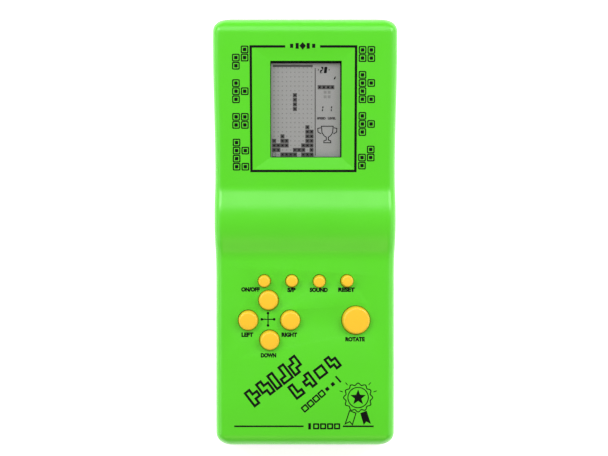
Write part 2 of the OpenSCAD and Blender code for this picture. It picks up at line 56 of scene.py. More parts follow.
HALF_LEN = 90.0
HALF_W_DECK, HALF_W_HUMP, HALF_W_HEAD = 38.0, 38.5, 39.0
CORNER_TOP, CORNER_BOTTOM = 5.3, 5.4
PARTING_Z = 9.5
WALL = 2.0
EDGE_R, BASE_R = 4.0, 3.0
SIDE_DRAFT = 0.35
DECK_Z, CREST_Z, CREASE_Z = 19.0, 25.0, 21.13
FOOT_Y, PEAK_Y, HUMP_END_Y = -9.2, 4.4, 18.6
FOOT_W, PEAK_W, HUMP_END_W = 2.6, 8.5, 1.8
HEAD_TILT = math.radians(5)
END_TOP, END_BOTTOM = 6.5, 5.0
SCREEN_W, SCREEN_H, SCREEN_X, SCREEN_Y = 29.9, 40.4, 0.35, 51.95
BEVEL_DEPTH = 1.3
BEVEL_BOX = (-21.9, 21.0, -25.3, 25.9)
KEY_GAP = 0.2
KEY_TOP = DECK_Z + 2.4
KEYS = {
    "up": (-15.4, -28.1, 4.2), "down": (-15.0, -44.9, 4.2),
    "left": (-24.0, -36.5, 4.2), "right": (-6.3, -36.5, 4.2),
    "rotate": (21.4, -36.5, 5.95),
    "on_off": (-17.2, -20.0, 2.65), "start_pause": (-5.6, -20.0, 2.65),
    "sound": (6.0, -20.0, 2.65), "reset": (17.6, -20.0, 2.65),
}
HUMP_UP = (CREST_Z - DECK_Z) / (PEAK_Y - FOOT_Y)
HUMP_DOWN = (CREST_Z - CREASE_Z) / (HUMP_END_Y - PEAK_Y)


def ramp(y, c, w):
    """0 below c - w, slope 1 above c + w, a parabola between."""
    if y <= c - w:
        return 0.0
    if y >= c + w:
        return y - c
    return (y - c + w) ** 2 / (4 * w)


def ease(t):
    t = min(max(t, 0.0), 1.0)
    return t * t * (3 - 2 * t)


def fall(d, r):
    """How far a quarter round of radius r has fallen at distance d from its end."""
    return 0.0 if d >= r else r - math.sqrt(max(0.0, r * r - (r - d) ** 2))


def face_raw(y):
    return (
        DECK_Z - 0.13 * ramp(-y, 74, 5) + HUMP_UP * ramp(y, FOOT_Y, FOOT_W)
        - (HUMP_UP + HUMP_DOWN) * ramp(y, PEAK_Y, PEAK_W)
        + (HUMP_DOWN + math.tan(HEAD_TILT)) * ramp(y, HUMP_END_Y, HUMP_END_W)
    )


def face_z(y, inset=0.0):
    return (
        face_raw(y) - fall(HALF_LEN - inset - y, END_TOP - inset / 2)
        - fall(HALF_LEN - inset + y, END_BOTTOM - inset / 2)
    )


def side_w(y):
    return (
        HALF_W_DECK + (HALF_W_HUMP - HALF_W_DECK) * ease((y + 18) / 22)
        - 0.25 * ease((y - 10) / 18)
        + (HALF_W_HEAD - HALF_W_HUMP + 0.25) * ease((y - 26) / 52)
    )


def plan_w(y, inset=0.0):
    return (
        side_w(y) - inset - fall(HALF_LEN - inset - y, CORNER_TOP - inset)
        - fall(HALF_LEN - inset + y, CORNER_BOTTOM - inset)
    )


HEAD = (
    Matrix.Translation(Vector((0, SCREEN_Y, face_raw(SCREEN_Y))) * MM)
    @ Matrix.Rotation(HEAD_TILT, 4, "X")
)

# ---- mesh helpers ----


def mesh_object(name, points, faces):
    mesh = bpy.data.meshes.new(name)
    mesh.from_pydata([tuple(c * MM for c in p) for p in points], [], faces)
    obj = bpy.data.objects.new(name, mesh)
    bpy.context.scene.collection.objects.link(obj)
    return obj


def skin(name, rings):
    """Joins rings of points, in millimetres, into one closed mesh."""
    n, m = len(rings), len(rings[0])
    faces = [tuple(range(m - 1, -1, -1)), tuple((n - 1) * m + j for j in range(m))]
    for i in range(n - 1):
        for j in range(m):
            k = (j + 1) % m
            faces.append((i * m + j, i * m + k, (i + 1) * m + k, (i + 1) * m + j))
    return mesh_object(name, [p for ring in rings for p in ring], faces)


def box(name, low, high):
    (a, b, c), (d, e, f) = low, high
    return skin(name, [
        [(a, b, c), (d, b, c), (d, e, c), (a, e, c)],
        [(a, b, f), (d, b, f), (d, e, f), (a, e, f)],
    ])


def cylinder(name, x, y, z0, z1, r, n=64):
    turn = [(math.cos(2 * math.pi * i / n), math.sin(2 * math.pi * i / n)) for i in range(n)]
    return skin(name, [[(x + r * c, y + r * s, z) for c, s in turn] for z in (z0, z1)])


def lathe(name, profile, n=96, at=(0, 0, 0)):
    """Turns a profile of (radius, height) about Z. It starts and ends on the axis."""
    turn = [(math.cos(2 * math.pi * i / n), math.sin(2 * math.pi * i / n)) for i in range(n)]
    rings = [[(at[0] + r * c, at[1] + r * s, at[2] + z) for c, s in turn] for r, z in profile[1:-1]]
    m = len(rings)
    points = [p for ring in rings for p in ring]
    points += [(at[0], at[1], at[2] + profile[0][1]), (at[0], at[1], at[2] + profile[-1][1])]
    faces = []
    for j in range(n):
        k = (j + 1) % n
        faces.append((m * n, k, j))
        faces += [(i * n + j, i * n + k, (i + 1) * n + k, (i + 1) * n + j) for i in range(m - 1)]
        faces.append((m * n + 1, (m - 1) * n + j, (m - 1) * n + k))
    return mesh_object(name, points, faces)


def arc(cx, cz, r, start, end, n=8):
    """Points of a rounded corner in a profile, angles in degrees."""
    out = []
    for i in range(n + 1):
        a = math.radians(start + (end - start) * i / n)
        out.append((cx + r * math.cos(a), cz + r * math.sin(a)))
    return out


def applied(obj):
    """Replaces the object's mesh with what its modifiers make of it."""
    bpy.context.view_layer.update()
    mesh = bpy.data.meshes.new_from_object(obj.evaluated_get(bpy.context.evaluated_depsgraph_get()))
    obj.modifiers.clear()
    obj.data = mesh
    return obj


def cut(obj, tools, operation="DIFFERENCE"):
    """One exact boolean with tools that don't overlap each other."""
    tool = joined("tool", tools)
    mod = obj.modifiers.new("cut", "BOOLEAN")
    mod.operation, mod.solver, mod.object = operation, "EXACT", tool
    applied(obj)
    bpy.data.objects.remove(tool)
    return obj


def joined(name, parts):
    """Several objects as one new object without materials, with their transforms applied."""
    bm = bmesh.new()
    for part in parts:
        mesh = part.data
        mesh.transform(part.matrix_world)
        bm.from_mesh(mesh)
        bpy.data.objects.remove(part)
    out = bpy.data.meshes.new(name)
    bm.to_mesh(out)
    bm.free()
    obj = bpy.data.objects.new(name, out)
    bpy.context.scene.collection.objects.link(obj)
    return obj


def smooth(obj, angle=30):
    obj.data.shade_smooth()
    obj.data.set_sharp_from_angle(angle=math.radians(angle))
    return obj


def round_edges(obj, width, choose, segments=3):
    """Rounds the edges for which choose(bmesh edge) is true, by a width in millimetres."""
    bm = bmesh.new()
    bm.from_mesh(obj.data)
    layer = bm.edges.layers.float.new("bevel_weight_edge")
    for e in bm.edges:
        e[layer] = 1.0 if choose(e) else 0.0
    bm.to_mesh(obj.data)
    bm.free()
    mod = obj.modifiers.new("round", "BEVEL")
    mod.limit_method, mod.width, mod.segments = "WEIGHT", width * MM, segments
    mod.use_clamp_overlap = True
    return applied(obj)


def paint(obj, *materials):
    obj.data.materials.clear()
    for m in materials:
        obj.data.materials.append(m)
    return obj


# ---- materials ----


def shader(name):
    mat = bpy.data.materials.new(name)
    mat.use_nodes = True
    tree = mat.node_tree
    return mat, tree, tree.nodes["Principled BSDF"]


def noise(tree, scale, detail=3.0, rough=0.5):
    where = tree.nodes.new("ShaderNodeTexCoord")
    tex = tree.nodes.new("ShaderNodeTexNoise")
    tex.inputs["Scale"].default_value = scale
    tex.inputs["Detail"].default_value = detail
    tex.inputs["Roughness"].default_value = rough
    tree.links.new(where.outputs["Object"], tex.inputs["Vector"])
    return tex.outputs["Fac"]


def remap(tree, value, low, high, a=0.3, b=0.7):
    node = tree.nodes.new("ShaderNodeMapRange")
    node.inputs["From Min"].default_value, node.inputs["From Max"].default_value = a, b
    node.inputs["To Min"].default_value, node.inputs["To Max"].default_value = low, high
    tree.links.new(value, node.inputs["Value"])
    return node.outputs["Result"]


def blend_colours(tree, factor, first, second):
    node = tree.nodes.new("ShaderNodeMix")
    node.data_type = "RGBA"
    node.inputs["A"].default_value = (*first, 1)
    node.inputs["B"].default_value = (*second, 1)
    tree.links.new(factor, node.inputs["Factor"])
    return node.outputs["Result"]


def bump(tree, bsdf, height, strength, distance):
    node = tree.nodes.new("ShaderNodeBump")
    node.inputs["Strength"].default_value = strength
    node.inputs["Distance"].default_value = distance
    tree.links.new(height, node.inputs["Height"])
    tree.links.new(node.outputs["Normal"], bsdf.inputs["Normal"])


def moulded(name, colour, shade=0.94, rough=0.3, spread=0.05, grain=900, relief=0.08, coat=0.0, gloss=0.5):
    """Moulded plastic: faint flow mottling, roughness that varies, and a fine skin texture."""
    mat, tree, bsdf = shader(name)
    flow = remap(tree, noise(tree, 38, 4, 0.55), 0, 1)
    dark = tuple(c * shade for c in colour)
    tree.links.new(blend_colours(tree, flow, colour, dark), bsdf.inputs["Base Color"])
    wear = remap(tree, noise(tree, 150, 3), rough - spread, rough + spread)
    tree.links.new(wear, bsdf.inputs["Roughness"])
    bump(tree, bsdf, noise(tree, grain, 3, 0.6), relief, 0.0002)
    bsdf.inputs["Coat Weight"].default_value = coat
    bsdf.inputs["Coat Roughness"].default_value = 0.22
    bsdf.inputs["Specular IOR Level"].default_value = gloss
    return mat


def metal(name, colour, rough=0.28, scratch=0.12):
    mat, tree, bsdf = shader(name)
    bsdf.inputs["Metallic"].default_value = 1.0
    dull = tuple(c * 0.8 for c in colour)
    patches = remap(tree, noise(tree, 260, 4), 0, 1)
    tree.links.new(blend_colours(tree, patches, colour, dull), bsdf.inputs["Base Color"])
    tree.links.new(remap(tree, noise(tree, 700, 4), rough - 0.08, rough + 0.1), bsdf.inputs["Roughness"])
    bump(tree, bsdf, noise(tree, 2600, 2), scratch, 0.0001)
    return mat


def clear(name, colour, alpha, rough):
    """Thin clear plastic or glass: light passes straight through, more of it glances off at the edges."""
    mat, tree, bsdf = shader(name)
    bsdf.inputs["Base Color"].default_value = (*colour, 1)
    bsdf.inputs["IOR"].default_value = 1.5
    rim = tree.nodes.new("ShaderNodeLayerWeight")
    rim.inputs["Blend"].default_value = 0.25
    tree.links.new(remap(tree, rim.outputs["Fresnel"], alpha, 0.6, 0.0, 1.0), bsdf.inputs["Alpha"])
    tree.links.new(remap(tree, noise(tree, 60, 2), rough * 0.7, rough * 1.3), bsdf.inputs["Roughness"])
    bump(tree, bsdf, noise(tree, 30, 1), 0.03, 0.0002)
    mat.surface_render_method = "BLENDED"
    return mat


GREEN = moulded("green_abs", (0.096, 0.69, 0.010), 0.965, 0.34, 0.05, 1500, 0.05, coat=0.4)
CHARCOAL = moulded("charcoal_abs", (0.030, 0.032, 0.032), 0.8, 0.52, 0.08, 2200, 0.35)
CHARCOAL_DOOR = moulded("charcoal_door_abs", (0.031, 0.033, 0.033), 0.8, 0.5, 0.08, 2200, 0.35)
YELLOW = moulded("yellow_abs", (1.0, 0.59, 0.026), 0.97, 0.33, 0.05, 1300, 0.06, coat=0.2)
INK = moulded("black_ink", (0.003, 0.003, 0.003), 0.6, 0.5, 0.08, 3000, 0.1, gloss=0.15)
RUBBER = moulded("keypad_silicone", (0.56, 0.55, 0.48), 0.9, 0.6, 0.06, 1500, 0.1)
CARBON = moulded("carbon_rubber", (0.012, 0.012, 0.012), 0.7, 0.7, 0.06, 2500, 0.2)
IVORY = moulded("ivory_abs", (0.62, 0.60, 0.52), 0.93, 0.45, 0.05, 1300, 0.08)
EPOXY = moulded("black_epoxy", (0.007, 0.007, 0.007), 0.7, 0.18, 0.05, 300, 0.2, coat=0.4)
SLEEVE_BLUE = moulded("capacitor_sleeve", (0.012, 0.04, 0.18), 0.85, 0.3, 0.05, 500, 0.05)
ORANGE = moulded("orange_ceramic", (0.70, 0.17, 0.012), 0.85, 0.35, 0.05, 400, 0.15)
TAN = moulded("resistor_lacquer", (0.56, 0.40, 0.18), 0.85, 0.35, 0.05, 500, 0.1)
RED_PVC = moulded("red_pvc", (0.60, 0.012, 0.008), 0.85, 0.4, 0.05, 900, 0.08)
BLACK_PVC = moulded("black_pvc", (0.008, 0.008, 0.008), 0.8, 0.4, 0.05, 900, 0.08)
RIBBON = moulded("ribbon_film", (0.02, 0.02, 0.02), 0.7, 0.3, 0.05, 500, 0.05)
CERAMIC = moulded("sounder_ceramic", (0.72, 0.72, 0.66), 0.92, 0.4, 0.06, 900, 0.1)
STEEL = metal("zinc_steel", (0.60, 0.60, 0.60))
NICKEL = metal("nickel_plate", (0.68, 0.67, 0.63), 0.22)
BRASS = metal("sounder_brass", (0.72, 0.50, 0.18), 0.3)
WINDOW = clear("clear_window", (0.05, 0.055, 0.055), 0.03, 0.06)
GLASS = clear("lcd_glass", (0.20, 0.24, 0.22), 0.2, 0.05)
SEGMENT_GREY = moulded("lcd_segment_halo", (0.15, 0.147, 0.147), 0.85, 0.45, 0.05, 900, 0.02, gloss=0.1)
SEGMENT_BLACK = moulded("lcd_segment", (0.006, 0.006, 0.007), 0.8, 0.45, 0.05, 900, 0.02, gloss=0.1)
GHOST = moulded("lcd_unlit_segment", (0.42, 0.42, 0.42), 0.92, 0.45, 0.05, 900, 0.02, gloss=0.1)


def lcd_film():
    """Grey reflective film seen through the liquid crystal: fine silvery speckle."""
    mat, tree, bsdf = shader("lcd_film")
    speckle = remap(tree, noise(tree, 4200, 2, 0.7), 0, 1, 0.25, 0.75)
    greys = blend_colours(tree, speckle, (0.53, 0.535, 0.54), (0.62, 0.62, 0.62))
    tree.links.new(greys, bsdf.inputs["Base Color"])
    tree.links.new(remap(tree, noise(tree, 300, 2), 0.5, 0.6), bsdf.inputs["Roughness"])
    bump(tree, bsdf, noise(tree, 4200, 2, 0.7), 0.1, 0.0001)
    return mat


def board():
    """Phenolic board with faint copper traces under the lacquer."""
    mat, tree, bsdf = shader("circuit_board")
    where = tree.nodes.new("ShaderNodeTexCoord")
    wave = tree.nodes.new("ShaderNodeTexWave")
    wave.bands_direction = "DIAGONAL"
    wave.inputs["Scale"].default_value = 90
    wave.inputs["Distortion"].default_value = 6
    wave.inputs["Detail"].default_value = 1
    tree.links.new(where.outputs["Object"], wave.inputs["Vector"])
    tracks = remap(tree, wave.outputs["Fac"], 0, 1, 0.72, 0.78)
    browns = blend_colours(tree, tracks, (0.23, 0.13, 0.05), (0.30, 0.16, 0.05))
    tree.links.new(browns, bsdf.inputs["Base Color"])
    tree.links.new(remap(tree, noise(tree, 500, 3), 0.35, 0.5), bsdf.inputs["Roughness"])
    bump(tree, bsdf, wave.outputs["Fac"], 0.1, 0.0001)
    return mat


FILM = lcd_film()
BOARD = board()

# ---- front shell ----

# finely divided stretch over the hump, and places along the flats to either side of it
HUMP_START_Y, HUMP_RUN = -13.2, 35.2
DECK_PLACES = [-81, -78.8, -77, -75, -73, -71, -69, -55, -40, -18]
HEAD_PLACES = [28, 35, 42, 50, 58, 65, 72, 78]
BOTTOM_RUN, TOP_RUN = 6.2, 6.6  # stretches that the ends' roundings take up
PARTING_LIP = 0.3
INNER_EDGE_R = EDGE_R - 1.6
RIM_R = 0.32  # rounding of the rims of the key holes and the screen's surround


def section(y, w, zt, zb, r, n, lip=0.0):
    """One ring across the case, from the left foot over the top to the right foot."""
    side = [(w - lip, zb)] + ([(w, zb + lip)] if lip else [])
    side += arc(w - SIDE_DRAFT - r, zt - r, r, 0, 90, n)
    return [(-x, y, z) for x, z in side] + [(x, y, z) for x, z in reversed(side)]


def stations(inset, fine, turn):
    """Places along the case: close on the roundings and the hump, far apart on the flats."""
    low = [-HALF_LEN + inset + BOTTOM_RUN * (1 - math.cos(math.radians(a))) for a in range(0, 91, turn)]
    high = [HALF_LEN - inset - TOP_RUN * (1 - math.cos(math.radians(a))) for a in range(90, -1, -turn)]
    steps = int(HUMP_RUN / fine)
    middle = [HUMP_START_Y + HUMP_RUN * i / steps for i in range(steps + 1)]
    return low + DECK_PLACES + middle + HEAD_PLACES + high


def in_head(point):
    """A point of the case, in metres, in the tilted head's own frame, in millimetres."""
    return (HEAD.inverted() @ point) / MM


def front_shell():
    outer = []
    for y in stations(0, 0.55, 5):
        z = face_z(y)
        r = min(EDGE_R, 0.8 * (z - PARTING_Z))
        outer.append(section(y, plan_w(y), z, PARTING_Z, r, 14, lip=PARTING_LIP))
    shell = skin("front_shell_moulding", outer)
    inner = []
    for y in stations(WALL, 1.6, 10):
        z = face_z(y, WALL) - 1.08 * WALL
        r = min(INNER_EDGE_R, 0.6 * (z - PARTING_Z))
        inner.append(section(y, plan_w(y, WALL), z, PARTING_Z - 1, r, 4))
    cut(shell, [skin("cavity", inner)])
    cut(shell, [cylinder("hole", x, y, 14, 25, r + KEY_GAP, 96) for x, y, r in KEYS.values()])
    half_w, half_h = SCREEN_W / 2, SCREEN_H / 2
    opening = box("opening", (SCREEN_X - half_w, -half_h, -6), (SCREEN_X + half_w, half_h, 6))
    x1, x2, y1, y2 = BEVEL_BOX
    above = 0.12
    surround = skin("surround", [
        [(SCREEN_X - half_w, -half_h, -BEVEL_DEPTH), (SCREEN_X + half_w, -half_h, -BEVEL_DEPTH),
         (SCREEN_X + half_w, half_h, -BEVEL_DEPTH), (SCREEN_X - half_w, half_h, -BEVEL_DEPTH)],
        [(x1, y1, above), (x2, y1, above), (x2, y2, above), (x1, y2, above)]])
    for tool in (opening, surround):
        tool.matrix_world = HEAD
        cut(shell, [tool])

    def feature(e):
        if len(e.link_faces) != 2:
            return False
        a, b = (v.co for v in e.verts)
        if a.y < 0:
            rim = abs(a.z / MM - DECK_Z) < 0.02 and abs(b.z / MM - DECK_Z) < 0.02
            return rim and e.calc_face_angle() > 0.5
        p, q = in_head(a), in_head(b)
        near = all(abs(v.x) < 24 and abs(v.y) < 27 and v.z > -BEVEL_DEPTH - 0.1 for v in (p, q))
        return near and e.calc_face_angle() > 0.08

    round_edges(shell, RIM_R, feature)
    smooth(shell, 34)
    return paint(shell, GREEN)


# ---- rear shell and door ----

# first cell's axis, pitch and height of the cells; the bay's inner radius, wall, half width and ends
CELL_Y, CELL_PITCH, CELL_Z = 1.0, 15.0, 9.9
BAY_R, BAY_T, BAY_HALF = 7.5, 1.4, 28.5
BAY_Y1, BAY_Y2 = CELL_Y - BAY_R, CELL_Y + CELL_PITCH + BAY_R
CASE_SCREWS = [(-32.2, 81.2), (32.2, 81.2), (-32.2, 30), (32.2, 30), (-31.3, -80.3), (31.3, -80.3)]
BUZZER = (0.0, -69.0)
HOOK_X = (-16, 16)
HINGE_Y, HINGE_Z, HINGE_R = BAY_Y1 + 1.2, 0.9, 0.9
BOSS_R, BOSS_TOP = 4.5, 8
SCREW_HEAD_R, SCREW_HOLE_R = 3.1, 1.35
SOUND_HOLE_R, SOUND_RING_R = 0.8, 5
BACK_RIM_R, DOOR_RIM_R = 0.3, 0.15  # roundings where holes and edges meet the back


def plan(inset):
    """The case's outline in plan, a little way in from its outside."""
    bx, by, br = side_w(-80) - CORNER_BOTTOM, HALF_LEN - CORNER_BOTTOM, CORNER_BOTTOM - inset
    tx, ty, tr = side_w(82) - CORNER_TOP, HALF_LEN - CORNER_TOP, CORNER_TOP - inset
    ys = [-80 + 4 * i for i in range(1, 40)]
    return (
        arc(bx, -by, br, -90, 0, 12) + [(side_w(y) - inset, y) for y in ys]
        + arc(tx, ty, tr, 0, 90, 12) + arc(-tx, ty, tr, 90, 180, 12)
        + [(-side_w(y) + inset, y) for y in reversed(ys)] + arc(-bx, -by, br, 180, 270, 12)
    )


def prism(name, outline, z0, z1):
    return skin(name, [[(x, y, z) for x, y in outline] for z in (z0, z1)])


def bay_prism(name, r, y1, y2, low, half):
    """The bay's profile, two round crowns over straight walls, run along X."""
    crowns = arc(CELL_Y + CELL_PITCH, CELL_Z, r, 0, 90, 16) + arc(CELL_Y, CELL_Z, r, 90, 180, 16)
    outline = [(y2, low)] + crowns + [(y1, low)]
    return skin(name, [[(x, y, z) for y, z in reversed(outline)] for x in (half, -half)])


def rear_shell():
    fillet = [math.radians(a) for a in range(0, 91, 9)]
    rings = [(BASE_R * (1 - math.sin(a)), BASE_R * (1 - math.cos(a))) for a in fillet]
    rings += [(0, PARTING_Z - 0.3), (0.3, PARTING_Z)]
    shell = skin("rear_shell_moulding", [[(x, y, z) for x, y in plan(inset)] for inset, z in rings])
    cut(shell, [prism("cavity", plan(WALL), WALL, PARTING_Z + 3)])
    band = prism("band", plan(WALL - 0.5), 6.5, PARTING_Z)
    cut(band, [prism("band_cavity", plan(WALL + 1.1), 6, PARTING_Z + 3)])
    cut(shell, [band], "UNION")
    lip = prism("lip", plan(WALL + 0.4), 7, PARTING_Z + 1.2)
    cut(lip, [prism("lip_cavity", plan(WALL + 1.1), 6, PARTING_Z + 3)])
    cut(shell, [lip], "UNION")
    ribs = [box("rib", (x - 0.6, 34, WALL - 0.5), (x + 0.6, 80, 7)) for x in (-14, 14)]
    cut(shell, ribs, "UNION")
    cut(shell, [box("rib", (-24, y - 0.6, WALL - 0.5), (24, y + 0.6, 6)) for y in (44, 66)], "UNION")
    bay = bay_prism("bay", BAY_R + BAY_T, BAY_Y1 - BAY_T, BAY_Y2 + BAY_T, 0.5, BAY_HALF + BAY_T)
    cut(shell, [bay], "UNION")
    cut(shell, [cylinder("relief", x, y, BOSS_TOP, PARTING_Z + 3, 3.15) for x, y in CASE_SCREWS])
    cut(shell, [cylinder("boss", x, y, 0.5, BOSS_TOP, BOSS_R) for x, y in CASE_SCREWS], "UNION")
    ring = cylinder("ring", *BUZZER, WALL - 0.5, WALL + 1.2, 13.4)
    cut(ring, [cylinder("ring_hole", *BUZZER, WALL, WALL + 3, 12)])
    cut(shell, [ring], "UNION")
    cut(shell, [bay_prism("bay_inside", BAY_R, BAY_Y1, BAY_Y2, -1, BAY_HALF)])
    cut(shell, [cylinder("counterbore", x, y, -1, 4, SCREW_HEAD_R) for x, y in CASE_SCREWS])
    cut(shell, [cylinder("screw_hole", x, y, 3, 9, SCREW_HOLE_R, 32) for x, y in CASE_SCREWS])
    sounds = [BUZZER]
    for a in range(0, 360, 60):
        c, s = math.cos(math.radians(a)), math.sin(math.radians(a))
        sounds.append((BUZZER[0] + SOUND_RING_R * c, BUZZER[1] + SOUND_RING_R * s))
    cut(shell, [cylinder("sound", x, y, -1, 4, SOUND_HOLE_R, 24) for x, y in sounds])
    cut(shell, [box("pocket", (x - 4, BAY_Y1 - BAY_T - 0.01, WALL), (x + 4, BAY_Y1 + 0.5, WALL + 3))
                for x in HOOK_X])
    cut(shell, [box("lug_slot", (BAY_HALF - 1, y - 1.9, 13.4), (BAY_HALF + BAY_T + 1, y + 1.9, 14.4))
                for y in (CELL_Y, CELL_Y + CELL_PITCH)])
    cut(shell, [cylinder("notch", 0, BAY_Y2 - 1.2, -0.2, 1.2, 6.5)])

    def feature(e):
        if len(e.link_faces) != 2:
            return False
        low = all(v.co.z < 0.02 * MM for v in e.verts)
        return low and e.calc_face_angle() > 0.6

    round_edges(shell, BACK_RIM_R, feature)
    smooth(shell, 32)
    return paint(shell, CHARCOAL)


def battery_door():
    high_y = BAY_Y2 - 0.3
    half = BAY_HALF - 0.3
    profile = arc(HINGE_Y, HINGE_Z, HINGE_R, 90, 270, 12)
    profile += [(high_y - 0.25, 0), (high_y, 0.25), (high_y, 1.8)]
    door = skin("battery_door_panel", [[(x, y, z) for y, z in profile] for x in (-half, half)])
    hooks = [box("hook", (x - 3.5, HINGE_Y - 2.8, 2.1), (x + 3.5, HINGE_Y + 2, 3.0)) for x in HOOK_X]
    cut(door, hooks, "UNION")
    webs = [box("web", (x - 3.4, HINGE_Y + 0.2, 1.2), (x + 3.4, HINGE_Y + 1.9, 2.6)) for x in HOOK_X]
    cut(door, webs, "UNION")
    # slots to either side of the latch tongue, and grip lines across it
    cut(door, [box("slot", (x, BAY_Y2 - 9, -1), (x + 1, BAY_Y2 + 1, 4)) for x in (-6.6, 5.6)])
    grips = [BAY_Y2 - 3.6 - 1.5 * i for i in range(5)]
    cut(door, [box("grip", (-4.5, y, -1), (4.5, y + 0.6, 0.35)) for y in grips])

    def feature(e):
        if len(e.link_faces) != 2:
            return False
        return all(v.co.z < 0.02 * MM for v in e.verts) and e.calc_face_angle() > 0.6

    round_edges(door, DOOR_RIM_R, feature, 2)
    smooth(door, 30)
    return paint(door, CHARCOAL_DOOR)


# ---- keys ----

# how far each loose cap leans, in degrees about X and Y
LEAN = {
    "up": (2.2, -1.6), "down": (5.5, 4.5), "left": (6.5, 1.5), "right": (3.2, 5.2), "rotate": (3.8, 5.0),
    "on_off": (3.5, 0.0), "start_pause": (1.5, 1.5), "sound": (7.0, 0.5), "reset": (1.0, 6.0),
}
CAP_TAPER = 0.3
STEM_Z, FLANGE_Z, FLANGE_TOP_Z = 14.6, 15.8, 16.7
LEAN_Z, LEAN_RUN = 17.6, 1.2  # height that a cap leans about, and height in which the lean grows
WEB_Z, WEB_TOP_Z = 11, 12


def by_size(r, large, middle, small):
    """The value that goes with the rotate key, a direction key or one of the small keys."""
    return large if r > 5 else middle if r > 4 else small


def skirt_r(r):
    return by_size(r, 5.4, 4.1, 2.9)


def boss_r(r):
    return by_size(r, 3.6, 2.7, 1.9)


def key_cap(name):
    x, y, r = KEYS[name]
    f = by_size(r, 1.0, 0.85, 0.65)
    flange = r + by_size(r, 0.53, 0.53, 0.6)
    crown = by_size(r, 0.16, 0.16, 0.1)
    top = KEY_TOP - crown
    profile = [(0, STEM_Z), (boss_r(r), STEM_Z), (boss_r(r), FLANGE_Z), (flange, FLANGE_Z)]
    profile += [(flange, FLANGE_TOP_Z), (r, FLANGE_TOP_Z), (r, 17.4), (r, DECK_Z)]
    profile += arc(r - CAP_TAPER - f, top - f, f, 0, 84, 9)
    edge = profile[-1]
    profile += [(edge[0] * (1 - t), edge[1] + crown * (1 - (1 - t) ** 2)) for t in (0.15, 0.35, 0.6, 0.85)]
    profile.append((0, edge[1] + crown))
    cap = lathe(name + "_cap", profile)
    pivot = Vector((0, 0, LEAN_Z)) * MM
    lean = [math.radians(a) for a in LEAN[name]]
    for v in cap.data.vertices:
        # the lean grows from nothing at the flange, so the stem stays upright
        t = ease((v.co.z / MM - FLANGE_TOP_Z) / LEAN_RUN)
        turn = Matrix.Rotation(lean[0] * t, 3, "X") @ Matrix.Rotation(lean[1] * t, 3, "Y")
        v.co = turn @ (v.co - pivot) + pivot
    cap.data.transform(Matrix.Translation(Vector((x, y, 0)) * MM))
    smooth(cap, 40)
    return paint(cap, YELLOW)


def keypad():
    """The rubber sheet as a flat web with nine domes under the keys."""
    web = box("keypad_web", (-29.4, -51.4, WEB_Z), (29.4, -16.4, WEB_TOP_Z))
    cut(web, [cylinder("hole", x, y, 10, 13, skirt_r(r) - 0.3) for x, y, r in KEYS.values()])
    paint(smooth(web), RUBBER)
    domes = {}
    for name, (x, y, r) in KEYS.items():
        b, s = boss_r(r), skirt_r(r)
        profile = [(0, 12.7), (b - 0.55, 12.7), (s - 0.3, 11.5), (s + 0.3, 11.5), (s + 0.3, 12.02)]
        profile += [(b + 0.2, 13.2), (b, 13.5), (b, 14.4), (b - 0.2, STEM_Z), (0, STEM_Z)]
        domes[name] = paint(smooth(lathe(name + "_dome", profile, 48, (x, y, 0))), RUBBER)
    return web, domes


# ---- printing ----

INK_LOW, INK_HIGH = -0.03, 0.03
# how far the printing sits off the case's middle
PRINT_DX, PRINT_DY = -0.24, 0.42
DECK_BEND_Y = -69


def drape(obj):
    """Lays flat work drawn in plan, in millimetres, on the face of the case."""
    bm = bmesh.new()
    bm.from_mesh(obj.data)
    bmesh.ops.translate(bm, verts=bm.verts, vec=(PRINT_DX, PRINT_DY, 0))
    if min(v.co.y for v in bm.verts) < DECK_BEND_Y:
        # cut across every millimetre, so that the work follows the deck where it bends down
        for y in range(-84, DECK_BEND_Y + 1):
            geom = bm.verts[:] + bm.edges[:] + bm.faces[:]
            bmesh.ops.bisect_plane(bm, geom=geom, plane_co=(0, y, 0), plane_no=(0, 1, 0))
    for v in bm.verts:
        v.co = Vector((v.co.x, v.co.y, face_z(v.co.y) + v.co.z)) * MM
    bm.to_mesh(obj.data)
    bm.free()
    obj.data.update()
    return obj


def flat_object(name, curve):
    """A filled 2D curve or text as a thin closed plate between INK_LOW and INK_HIGH."""
    curve.dimensions, curve.fill_mode = "2D", "BOTH"
    curve.extrude = (INK_HIGH - INK_LOW) / 2
    source = bpy.data.objects.new(name + "_curve", curve)
    bpy.context.scene.collection.objects.link(source)
    bpy.context.view_layer.update()
    mesh = bpy.data.meshes.new_from_object(source.evaluated_get(bpy.context.evaluated_depsgraph_get()))
    bpy.data.objects.remove(source)
    obj = bpy.data.objects.new(name, mesh)
    bpy.context.scene.collection.objects.link(obj)
    bm = bmesh.new()
    bm.from_mesh(mesh)
    bmesh.ops.remove_doubles(bm, verts=bm.verts, dist=0.0005)
    for v in bm.verts:
        v.co.z += (INK_HIGH + INK_LOW) / 2
    bm.to_mesh(mesh)
    bm.free()
    return obj


def outline_curve(name, loops):
    """Closed loops of points in millimetres as one filled 2D curve; inner loops are holes."""
    curve = bpy.data.curves.new(name, "CURVE")
    curve.dimensions = "2D"
    for loop in loops:
        spline = curve.splines.new("POLY")
        spline.points.add(len(loop) - 1)
        for point, (x, y) in zip(spline.points, loop):
            point.co = (x, y, 0, 1)
        spline.use_cyclic_u = True
    return curve


def rect(x1, y1, x2, y2):
    return [(x1, y1), (x2, y1), (x2, y2), (x1, y2)]


def round_rect(cx, cy, half, r, n=4):
    out = []
    for sx, sy, start in ((1, 1, 0), (-1, 1, 90), (-1, -1, 180), (1, -1, 270)):
        out += arc(cx + sx * (half - r), cy + sy * (half - r), r, start, start + 90, n)
    return out


def disc(cx, cy, r, n=24):
    return arc(cx, cy, r, 0, 360 - 360 / n, n - 1)


